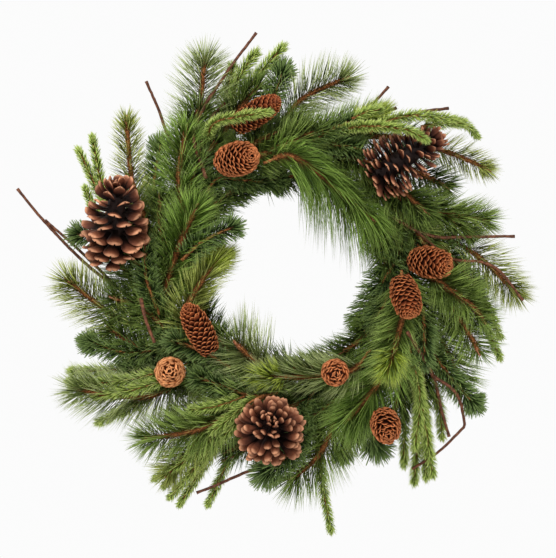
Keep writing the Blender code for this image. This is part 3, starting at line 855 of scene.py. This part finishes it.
# Laid pine sprigs, numbered from 1: colour, needle length (mm), places (clock, radius) after the root, own
# settings
PINES = [
    ("grey", 52, [(311, 150), (327, 204), (341, 305)], {"spread": (68, 52), "per_mm": 6.4, "short": 0.62}),
    ("olive", 32, [(278, 154), (298, 213), (315, 282)], {"spread": (64, 46), "per_mm": 5.6}),
    ("olive", 50, [(241, 156), (254, 212), (271, 288)], {"spread": (68, 52)}),
    ("grey", 52, [(223, 160), (229, 229), (244, 315)], {"spread": (66, 46)}),
    ("olive", 44, [(207, 152), (209, 237), (212, 305)], {}),
    ("green", 54, [(155, 156), (170, 219), (184, 268)], {"carry": (0, 0, -0.1)}),
    ("green", 52, [(102, 157), (116, 210), (126, 266)], {}),
    ("olive", 44, [(68, 152), (83, 218), (98, 292)], {"per_mm": 6.4}),
    ("green", 46, [(49, 151), (66, 183), (77, 266)], {"spread": (52, 34)}),
    ("olive", 34, [(35, 157), (48, 225), (65, 280)], {"per_mm": 4.6}),
    ("grey", 46, [(351, 148), (3, 207), (21, 262)],
     {"spread": (66, 50), "carry": (0, 0, 0.12), "per_mm": 6.4, "short": 0.62}),
    ("bright", 48, [(298, 145), (311, 177), (328, 228)], {}),
    ("green", 50, [(196, 153), (209, 213), (224, 284)], {}),
    ("bright", 54, [(130, 154), (143, 170), (165, 202)], {"spread": (60, 42), "carry": (-0.1, 0, -0.15)}),
    ("green", 42, [(347, 144), (12, 171), (34, 234)], {"tip": "lime"}),
    ("grey", 42, [(149, 138), (172, 127), (204, 137)],
     {"spread": (56, 40), "carry": (-0.1, 0, 0.12), "tip": "lime", "start": 0.14}),
    ("green", 44, [(104, 142), (118, 147), (141, 174)],
     {"spread": (60, 40), "carry": (-0.15, 0, 0), "tip": "lime"}),
    ("bright", 62, [(1, 137), (28, 115), (72, 132)],
     {"spread": (50, 34), "carry": (-0.05, 0, -0.5), "start": 0.08}),
    ("bright", 52, [(257, 153), (278, 138), (314, 142)], {}),
    ("olive", 42, [(246, 138), (259, 114), (296, 80)], {"spread": (52, 34), "tip": "lime"}),
]
# Laid fir sprigs, numbered from 1: needle length, places
FIRS = [
    (20, [(341, 148), (353, 202), (359, 254)]),
    (20, [(321, 142), (334, 123), (357, 106)]),
    (20, [(237, 160), (243, 215), (252, 266)]),
    (27, [(171, 153), (180, 214), (189, 256)]),
    (27, [(148, 158), (153, 208), (153.5, 250)]),
    (20, [(111, 157), (123, 228), (126, 284)]),
    (28, [(80, 132), (104, 107), (131, 112)]),
]
# Laid spruce sprays: name, own settings, places of each finger
SPRUCES = [
    ("top_left", {"length": 14.5}, [
        [(328, 155), (346, 223), (359, 277)], [(334, 185), (344, 237), (352, 273)],
        [(332, 180), (341, 232), (345, 264)]]),
    ("left", {}, [
        [(273, 150), (289, 230), (300.5, 300)], [(276, 170), (292, 240), (305, 293)],
        [(274, 175), (286, 240), (293, 271)]]),
    ("lower_left", {"length": 14.0}, [
        [(232, 160), (237, 240), (244, 304)], [(234, 172), (240, 235), (246, 296)],
        [(231, 175), (229, 235), (232, 300)]]),
    ("bottom_left", {}, [
        [(198, 150), (203, 232), (205.5, 316)], [(196, 165), (198, 232), (199.5, 303)],
        [(200, 165), (208, 235), (210.5, 305)]]),
    ("bottom", {}, [
        [(164, 152), (171, 234), (171, 322)]]),
    ("lower_right", {"length": 12.5}, [
        [(122, 156), (138, 207), (150, 276)], [(126, 170), (138, 232), (150, 300)],
        [(126, 172), (134, 225), (147, 303)], [(125, 172), (131, 235), (138, 276)]]),
    ("right", {}, [
        [(86, 152), (96, 215), (107, 252), (113, 278)], [(88, 170), (96, 228), (108, 270)]]),
    ("top", {"over": True}, [
        [(316, 152), (331, 196), (342, 193), (354, 190)]]),
    ("top_right", {"over": True}, [
        [(8, 150), (21, 183), (38, 213), (47, 223)]]),
    ("upper_right", {"over": True}, [
        [(25, 165), (35, 222), (48, 269), (55, 280)]]),
]
# Sprigs tucked between the laid ones: kind, colour, needle length, places (clock, radius, depth)
TUCKED = [
    ("pine", "grey", 58, [(192, 120, 46), (209, 110, 54), (232, 106, 56)]),
    ("pine", "green", 52, [(90, 160, 38), (96, 190, 42), (104, 234, 36)]),
    ("fir", "", 20, [(274, 175, 28), (280, 219, 30), (280, 270, 26)]),
    ("fir", "", 20, [(276, 130, 58), (290, 109, 62), (314, 82, 60)]),
    ("fir", "", 16, [(10, 160, 40), (17, 180, 44), (24, 200, 44)]),
    ("fir", "", 20, [(186, 145, 42), (198, 155, 50), (225, 172, 52)]),
    ("fir", "", 20, [(212, 135, 50), (227, 140, 56), (242, 168, 58)]),
    ("fir", "", 20, [(252, 165, 44), (268, 172, 52), (284, 178, 50)]),
    ("fir", "", 20, [(106, 165, 50), (116, 178, 56), (126, 196, 54)]),
    ("spruce", "", 12, [(124, 170, 50), (136, 228, 44), (145.3, 304, 24)]),
    ("spruce", "", 12, [(122, 168, 54), (134, 215, 52), (145.4, 262, 40)]),
    ("spruce", "", 13, [(228, 165, 44), (236, 230, 38), (242.6, 302, 22)]),
    ("spruce", "", 13, [(226, 168, 46), (232, 225, 42), (238, 285, 28)]),
    ("spruce", "", 12, [(42, 232, 66), (46, 255, 60), (50, 278, 48)]),
    ("spruce", "", 11, [(22, 196, 66), (26, 212, 66), (30, 224, 60)]),
    ("spruce", "", 12, [(192, 150, 66), (198, 165, 70), (206.6, 216, 60)]),
    ("spruce", "", 12, [(192, 152, 64), (198, 175, 66), (202.3, 217, 58)]),
    ("spruce", "", 12, [(200, 158, 56), (208, 180, 62), (216.8, 206, 58)]),
    ("spruce", "", 12, [(200, 150, 44), (206, 232, 40), (213.5, 302, 24)]),
    ("spruce", "", 12, [(199, 160, 40), (204, 230, 36), (208.2, 313, 22)]),
    ("pine", "green", 40, [(96, 192, 44), (101, 224, 42), (107, 254, 34)]),
    ("pine", "green", 44, [(102, 200, 36), (110, 232, 38), (116, 262, 30)]),
    # The deep pine sprigs take the darker copy of the pine green, which is painted shade.
    ("pine", "deep", 44, [(252, 150, 30), (258, 190, 34), (264, 234, 30)]),
    ("pine", "deep", 40, [(262, 150, 30), (270, 176, 36), (280, 206, 30)]),
    ("pine", "deep", 38, [(178, 134, 34), (190, 140, 40), (203, 148, 34)]),
    ("pine", "deep", 38, [(84, 150, 28), (92, 172, 34), (100, 200, 30)]),
    ("twig", "", 0, [(260, 180, 72), (251, 180, 76), (242.4, 181, 74)]),
    ("twig", "", 0, [(35.5, 227, 60), (40, 250, 56), (44.1, 272.4, 48)]),
]
# Bare twigs: name, places of the main limb and of its fork
TWIGS = [
    ("left", [
        [(249, 161), (264, 208), (273, 252), (282, 307), (287, 346)],
        [(264, 208), (276, 258), (282, 304)]]),
    ("upper_left", [
        [(321, 160), (318, 214), (321, 253), (323, 290)]]),
    ("top", [
        [(318, 150), (326, 205), (342, 251), (352, 292)],
        [(322, 178), (331, 205), (339, 219)]]),
    ("top_right", [
        [(5, 149), (20, 197), (26, 227), (28, 254)],
        [(12, 170), (27, 209), (33, 237)]]),
    ("right", [
        [(62, 140), (72, 160), (77, 185), (79, 221), (81, 274)],
        [(72, 160), (85, 193), (87, 228), (90, 252), (97, 282)]]),
    ("lower_right", [
        [(117, 155), (126, 211), (132, 245), (136, 277)],
        [(126, 211), (126.2, 247), (130.6, 277), (131.6, 281), (133, 281.5), (140.7, 281.6), (148.2, 279.8)]]),
    ("bottom", [
        [(176, 154), (188, 230), (194, 253), (203, 290)],
        [(182, 190), (194, 223), (200, 243)]]),
]
# A laid stem is rooted this many degrees back from its first place, on the ring.
ROOT_RUN = 15
ROOT_RADIUS = 133
# What the pieces of each kind are seeded from
SEEDS = {"pine": 100, "fir": 200, "spruce": 300, "tucked": 350, "filler": 400, "twig": 500, "cone": 600}


def with_root(places):
    return [(places[0][0] - ROOT_RUN, ROOT_RADIUS)] + places


def build_greens():
    """The sprigs and sprays that stand for CAD nodes."""
    for i, (colour, length, places, own) in enumerate(PINES):
        node = "pine_sprig_%02d" % (i + 1)
        path = through_node(node, with_root(places), NODE_REACH["pine"])
        pine_sprig(node + "_needles", path, colour, SEEDS["pine"] + i, length, node=node, **own)
    for i, (length, places) in enumerate(FIRS):
        node = "fir_sprig_%02d" % (i + 1)
        path = through_node(node, with_root(places), NODE_REACH["fir"])
        fir_sprig(node + "_needles", path, SEEDS["fir"] + i, node, length)
    for i, (name, own, fingers) in enumerate(SPRUCES):
        node = "spruce_spray_" + name
        fingers = [with_root(fingers[0])] + fingers[1:]
        paths = [through_node(node, places, NODE_REACH["spruce"]) for places in fingers]
        if own.get("over"):
            paths = [tucked_root(path) for path in paths]
        spruce_spray(node + "_needles", paths, SEEDS["spruce"] + i, node, **own)


def build_tucked():
    """The small pieces tucked between the laid ones."""
    for i, (kind, colour, length, places) in enumerate(TUCKED):
        path = smooth_path(places)
        name, seed = "tucked_%s_%02d" % (kind, i + 1), SEEDS["tucked"] + i
        if kind == "pine":
            pine_sprig(name, path, colour, seed, length, carry=(0.0, 0.0, 0.1))
        elif kind == "fir":
            fir_sprig(name, path, seed, length=length)
        elif kind == "spruce":
            spruce_spray(name, [path], seed, length=length)
        else:
            twig(name, [path], seed)


# Rings of filler sprigs, darker with painted shade: how many, range of start radius, of end radius, degrees
# run, range of depth, needle length
FILLER_RINGS = [
    (18, (112, 126), (108, 124), 40, (10, 34), 34),
    (18, (134, 146), (150, 172), 24, (8, 18), 38),
    (20, (136, 150), (172, 196), 34, (14, 44), 40),
    (20, (158, 176), (222, 246), 26, (10, 26), 40),
]
# Where the wreath's edge is low: fillers that end between these clocks reach only this radius.
LOW_FROM, LOW_TO, LOW_RADIUS = 8, 40, 186
# How far a filler strays round the ring (degrees), the least share of its depth range, how far out it is half
# way along, and one in how many is a fir
FILLER_STRAY, LEAST_DEPTH, HALF_WAY, FIR_EVERY = 5, 0.6, 0.45, 4
FILLER_SEED, FILLER_PER_MM, FILLER_R = 7, 5.8, 0.48


def build_fillers():
    """Sprigs low on the ring, which close the gaps between the laid ones, their darker pine green painted
    shade.
    """
    rng = np.random.default_rng(FILLER_SEED)
    number = 0
    for count, starts, ends, run, (shallow, deep), length in FILLER_RINGS:
        for i in range(count):
            clock = 360 * i / count + rng.uniform(-FILLER_STRAY, FILLER_STRAY)
            start, end = rng.uniform(*starts), rng.uniform(*ends)
            depth = shallow + (deep - shallow) * rng.uniform(LEAST_DEPTH, 1.0)
            if LOW_FROM < (clock + run) % 360 < LOW_TO:
                end = min(end, LOW_RADIUS)
            half_way = (1 - HALF_WAY) * start + HALF_WAY * end
            path = smooth_path([(clock, start, shallow), (clock + 0.5 * run, half_way, depth),
                                (clock + run, end, depth)])
            number += 1
            seed = SEEDS["filler"] + number
            if i % FIR_EVERY == 0:
                fir_sprig("fill_fir_%02d" % number, path, seed, start=0.0)
            else:
                # The fillers take the deep pine green, which is painted shade.
                pine_sprig("fill_pine_%02d" % number, path, "deep", seed, length, FILLER_PER_MM, start=0.0,
                           radius=FILLER_R, open_front=0.0)


# A twig's radius at its root and end, its fork's share of that, its cut end's, and how far it wavers (mm)
TWIG_R, TWIG_END_R, FORK_SHARE, CUT_END, TWIG_WAVER = 2.3, 1.7, 0.9, (1.12, 1.25), 0.12


def twig(name, paths, seed, node=None):
    """A bare twig and its forks, a little thicker again at each cut end."""
    rng = np.random.default_rng(seed)
    shell = Shell()
    for k, path in enumerate(paths):
        path = path + rng.normal(0, TWIG_WAVER * MM, path.shape)
        size = np.linspace(TWIG_R, TWIG_END_R, len(path)) * MM * (1.0 if k == 0 else FORK_SHARE)
        size[-2:] *= CUT_END
        tube(shell, path, size, 9, MAIN, 0.06, rng)
    attach(shell.finish(name + "_bark", [TWIG]), node)


def build_twigs():
    for i, (name, limbs) in enumerate(TWIGS):
        node = "twig_" + name
        paths = [through_node(node, limb, NODE_REACH["twig"]) for limb in limbs]
        twig(node, paths, SEEDS["twig"] + i, node)


def build_cones():
    for i, (node, way, length, width) in enumerate(CONES):
        is_open = node.startswith("cone_large")
        look = {**(OPEN_CONE if is_open else CLOSED_CONE), **OWN_LOOKS.get(node, {})}
        shell = scaled_cone(node, way, length, width, SEEDS["cone"] + i, look)
        material, slot = (CONE_BROWN, "cone_brown") if is_open else (CONE_RUST, "cone_rust")
        if node in PALE_CONES:
            material = CONE_PALE
        attach(shell.finish(node + "_scales", [material, STEM]), node)


def dress_wire():
    """The wires keep their CAD shapes and only take their materials."""
    for name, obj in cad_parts.items():
        if name == "wire_frame":
            chosen = FRAME_WIRE
        elif name.startswith(("hanger", "binding")):
            chosen = TIE_WIRE
        else:
            continue
        obj.data.materials.clear()
        obj.data.materials.append(chosen)


# ---------------- studio

# The camera looks straight at the wall from a distance. The width in view is at the plane FOCUS_Y.
VIEW_CENTRE_X, VIEW_CENTRE_Z = -0.0145, -0.1785
VIEW_WIDTH, FOCUS_Y = 0.667, -0.05
CAMERA_DISTANCE = 2.4
SENSOR = 36.0
# Lamps: name, place, size, power (W)
LAMPS = (
    ("key", (-0.9, -1.6, 1.1), 0.9, 29.0),
    ("fill", (1.3, -1.5, 0.1), 1.2, 6.0),
)
SKY = 0.97
FLOOR_Z = -0.75
FLOOR_R = 1.5
FLOOR_SIDES = 96


def aimed(obj, place, aim):
    """Puts an object into the scene at a place, pointing at another."""
    obj.location = place
    obj.rotation_euler = (Vector(aim) - Vector(place)).to_track_quat("-Z", "Y").to_euler()
    bpy.context.scene.collection.objects.link(obj)


def floor():
    """A plain round floor well below the wreath."""
    turns = [2 * math.pi * k / FLOOR_SIDES for k in range(FLOOR_SIDES)]
    mesh = bpy.data.meshes.new("floor")
    points = [(FLOOR_R * math.cos(a), FLOOR_R * math.sin(a), FLOOR_Z) for a in turns]
    mesh.from_pydata(points, [], [tuple(range(FLOOR_SIDES))])
    material, tree, shader = node_tree("floor_pale")
    shade = ramp(tree, noise(tree, 3.0), ((0.3, (0.80, 0.80, 0.79)), (0.7, (0.84, 0.84, 0.83))))
    tree.links.new(shade, shader.inputs["Base Color"])
    shader.inputs["Roughness"].default_value = 0.8
    mesh.materials.append(material)
    obj = bpy.data.objects.new("floor", mesh)
    bpy.context.scene.collection.objects.link(obj)


def studio():
    """Plain soft light, the camera and the floor."""
    scene = bpy.context.scene
    scene.view_settings.view_transform = "Standard"
    world = bpy.data.worlds.new("studio")
    scene.world = world
    world.use_nodes = True
    background = world.node_tree.nodes["Background"]
    background.inputs["Color"].default_value = (1.0, 1.0, 1.0, 1.0)
    background.inputs["Strength"].default_value = SKY

    camera_data = bpy.data.cameras.new("camera")
    camera_data.sensor_width = SENSOR
    camera_data.lens = SENSOR * CAMERA_DISTANCE / VIEW_WIDTH
    camera = bpy.data.objects.new("camera", camera_data)
    camera.location = (VIEW_CENTRE_X, FOCUS_Y - CAMERA_DISTANCE, VIEW_CENTRE_Z)
    camera.rotation_euler = (math.radians(90), 0, 0)
    scene.collection.objects.link(camera)
    scene.camera = camera

    for name, place, size, power in LAMPS:
        light = bpy.data.lights.new(name, "AREA")
        light.size = size
        light.energy = power
        aimed(bpy.data.objects.new(name, light), place, (0.0, 0.0, RING_CENTRE_Z))
    floor()


studio()
build_cones()
build_greens()
build_tucked()
build_fillers()
build_twigs()
dress_wire()
